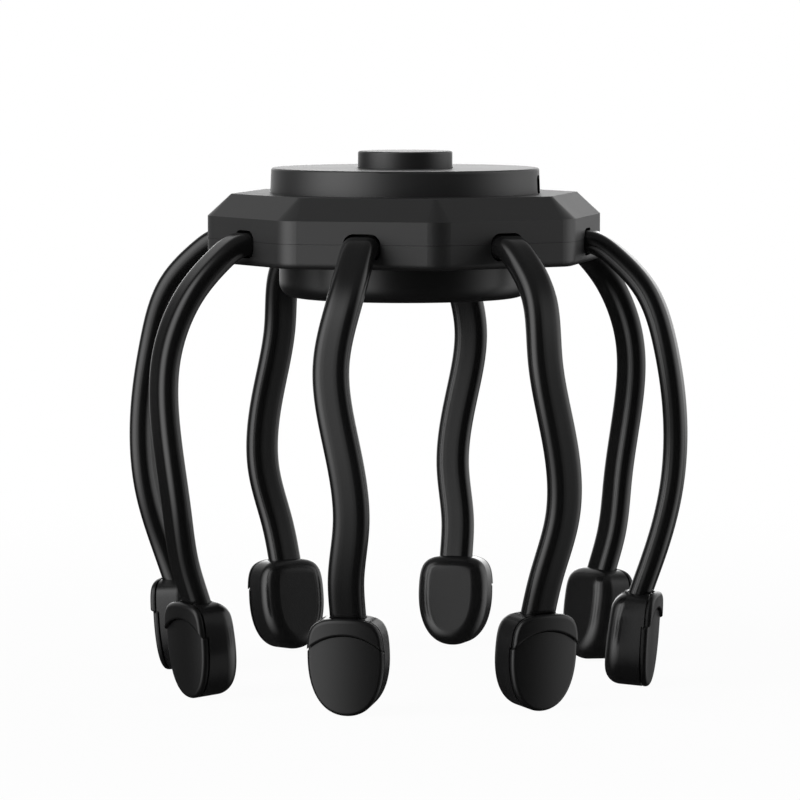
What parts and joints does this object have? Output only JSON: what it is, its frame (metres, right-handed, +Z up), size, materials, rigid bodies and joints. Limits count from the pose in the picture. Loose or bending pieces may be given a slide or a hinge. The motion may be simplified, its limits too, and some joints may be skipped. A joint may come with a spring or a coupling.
{
  "type": "electric scalp massager",
  "caption": "Free-standing electric head massager: octagonal housing with a round control disc and button, and flexible arms ending in vibrating pads.",
  "frame": {"origin": "centre of the ground circle that the claw tips stand on, under the middle of the housing", "axes": "+Z up along the button's axis; claw 1 points along -Y, the charging jack is close to +X"},
  "size_m": [0.1424, 0.1424, 0.1327],
  "materials": {
    "casing_plastic": "fine matt black moulded plastic",
    "dome_plastic": "satin black moulded plastic",
    "disc_plastic": "fine matt black moulded plastic",
    "button_plastic": "fine matt black moulded plastic",
    "switch_plastic": "black switch plunger",
    "board": "green solder mask",
    "jack_plastic": "black moulded jack",
    "light_lens": "clear smoked light pipe",
    "battery_wrap": "silver pouch foil",
    "ring_plastic": "dark moulded plastic",
    "screw_steel": "zinc plated steel",
    "leg_rubber": "smooth satin silicone rubber",
    "tip_plastic": "satin black moulded plastic",
    "pad_rubber": "smooth satin silicone rubber",
    "motor_steel": "drawn steel can",
    "weight_steel": "sintered weight"
  },
  "bodies": {
    "housing": {"upper_casing": "casing_plastic", "lower_casing": "casing_plastic", "crown_dome": "dome_plastic", "top_disc": "disc_plastic", "circuit_board": "board", "charging_jack": "jack_plastic", "indicator_lights": "light_lens", "battery": "battery_wrap", "clamp_ring": "ring_plastic", "casing_screws": "screw_steel"},
    "button": {"button": "button_plastic", "switch_plunger": "switch_plastic"},
    "claw_1": {"claw_1_leg": "leg_rubber", "claw_1_collar": "tip_plastic", "claw_1_cover": "tip_plastic", "claw_1_pad": "pad_rubber", "claw_1_motor": "motor_steel"},
    "weight_1": {"claw_1_weight": "weight_steel"},
    "claw_2": {"claw_2_leg": "leg_rubber", "claw_2_collar": "tip_plastic", "claw_2_cover": "tip_plastic", "claw_2_pad": "pad_rubber", "claw_2_motor": "motor_steel"},
    "weight_2": {"claw_2_weight": "weight_steel"},
    "claw_3": {"claw_3_leg": "leg_rubber", "claw_3_collar": "tip_plastic", "claw_3_cover": "tip_plastic", "claw_3_pad": "pad_rubber", "claw_3_motor": "motor_steel"},
    "weight_3": {"claw_3_weight": "weight_steel"},
    "claw_4": {"claw_4_leg": "leg_rubber", "claw_4_collar": "tip_plastic", "claw_4_cover": "tip_plastic", "claw_4_pad": "pad_rubber", "claw_4_motor": "motor_steel"},
    "weight_4": {"claw_4_weight": "weight_steel"},
    "claw_5": {"claw_5_leg": "leg_rubber", "claw_5_collar": "tip_plastic", "claw_5_cover": "tip_plastic", "claw_5_pad": "pad_rubber", "claw_5_motor": "motor_steel"},
    "weight_5": {"claw_5_weight": "weight_steel"},
    "claw_6": {"claw_6_leg": "leg_rubber", "claw_6_collar": "tip_plastic", "claw_6_cover": "tip_plastic", "claw_6_pad": "pad_rubber", "claw_6_motor": "motor_steel"},
    "weight_6": {"claw_6_weight": "weight_steel"},
    "claw_7": {"claw_7_leg": "leg_rubber", "claw_7_collar": "tip_plastic", "claw_7_cover": "tip_plastic", "claw_7_pad": "pad_rubber", "claw_7_motor": "motor_steel"},
    "weight_7": {"claw_7_weight": "weight_steel"},
    "claw_8": {"claw_8_leg": "leg_rubber", "claw_8_collar": "tip_plastic", "claw_8_cover": "tip_plastic", "claw_8_pad": "pad_rubber", "claw_8_motor": "motor_steel"},
    "weight_8": {"claw_8_weight": "weight_steel"}
  },
  "joints": [
    {"name": "button_press", "type": "slide", "parent": "housing", "child": "button", "axis": [0, 0, -1], "range_m": [0, 0.0008], "stiffness_N_per_m": 700},
    {"name": "claw_1_flex", "type": "hinge", "parent": "housing", "child": "claw_1", "pos_m": [0, -0.0453, 0.11049], "axis": [-1, 0, 0], "range_deg": [-4, 15], "stiffness_Nm_per_rad": 0.6},
    {"name": "weight_1_spin", "type": "hinge", "parent": "claw_1", "child": "weight_1", "pos_m": [0, -0.05897, 0.01736], "axis": [0, -0.0663, 0.9978], "continuous": true},
    {"name": "claw_2_flex", "type": "hinge", "parent": "housing", "child": "claw_2", "pos_m": [0.03203, -0.03203, 0.11049], "axis": [-0.7071, -0.7071, 0], "range_deg": [-4, 15], "stiffness_Nm_per_rad": 0.6},
    {"name": "weight_2_spin", "type": "hinge", "parent": "claw_2", "child": "weight_2", "pos_m": [0.0417, -0.0417, 0.01736], "axis": [0.0469, -0.0469, 0.9978], "continuous": true},
    {"name": "claw_3_flex", "type": "hinge", "parent": "housing", "child": "claw_3", "pos_m": [0.0453, 0, 0.11049], "axis": [0, -1, 0], "range_deg": [-4, 15], "stiffness_Nm_per_rad": 0.6},
    {"name": "weight_3_spin", "type": "hinge", "parent": "claw_3", "child": "weight_3", "pos_m": [0.05897, 0, 0.01736], "axis": [0.0663, 0, 0.9978], "continuous": true},
    {"name": "claw_4_flex", "type": "hinge", "parent": "housing", "child": "claw_4", "pos_m": [0.03203, 0.03203, 0.11049], "axis": [0.7071, -0.7071, 0], "range_deg": [-4, 15], "stiffness_Nm_per_rad": 0.6},
    {"name": "weight_4_spin", "type": "hinge", "parent": "claw_4", "child": "weight_4", "pos_m": [0.0417, 0.0417, 0.01736], "axis": [0.0469, 0.0469, 0.9978], "continuous": true},
    {"name": "claw_5_flex", "type": "hinge", "parent": "housing", "child": "claw_5", "pos_m": [0, 0.0453, 0.11049], "axis": [1, 0, 0], "range_deg": [-4, 15], "stiffness_Nm_per_rad": 0.6},
    {"name": "weight_5_spin", "type": "hinge", "parent": "claw_5", "child": "weight_5", "pos_m": [0, 0.05897, 0.01736], "axis": [0, 0.0663, 0.9978], "continuous": true},
    {"name": "claw_6_flex", "type": "hinge", "parent": "housing", "child": "claw_6", "pos_m": [-0.03203, 0.03203, 0.11049], "axis": [0.7071, 0.7071, 0], "range_deg": [-4, 15], "stiffness_Nm_per_rad": 0.6},
    {"name": "weight_6_spin", "type": "hinge", "parent": "claw_6", "child": "weight_6", "pos_m": [-0.0417, 0.0417, 0.01736], "axis": [-0.0469, 0.0469, 0.9978], "continuous": true},
    {"name": "claw_7_flex", "type": "hinge", "parent": "housing", "child": "claw_7", "pos_m": [-0.0453, 0, 0.11049], "axis": [0, 1, 0], "range_deg": [-4, 15], "stiffness_Nm_per_rad": 0.6},
    {"name": "weight_7_spin", "type": "hinge", "parent": "claw_7", "child": "weight_7", "pos_m": [-0.05897, 0, 0.01736], "axis": [-0.0663, 0, 0.9978], "continuous": true},
    {"name": "claw_8_flex", "type": "hinge", "parent": "housing", "child": "claw_8", "pos_m": [-0.03203, -0.03203, 0.11049], "axis": [-0.7071, 0.7071, 0], "range_deg": [-4, 15], "stiffness_Nm_per_rad": 0.6},
    {"name": "weight_8_spin", "type": "hinge", "parent": "claw_8", "child": "weight_8", "pos_m": [-0.0417, -0.0417, 0.01736], "axis": [-0.0469, -0.0469, 0.9978], "continuous": true}
  ]
}
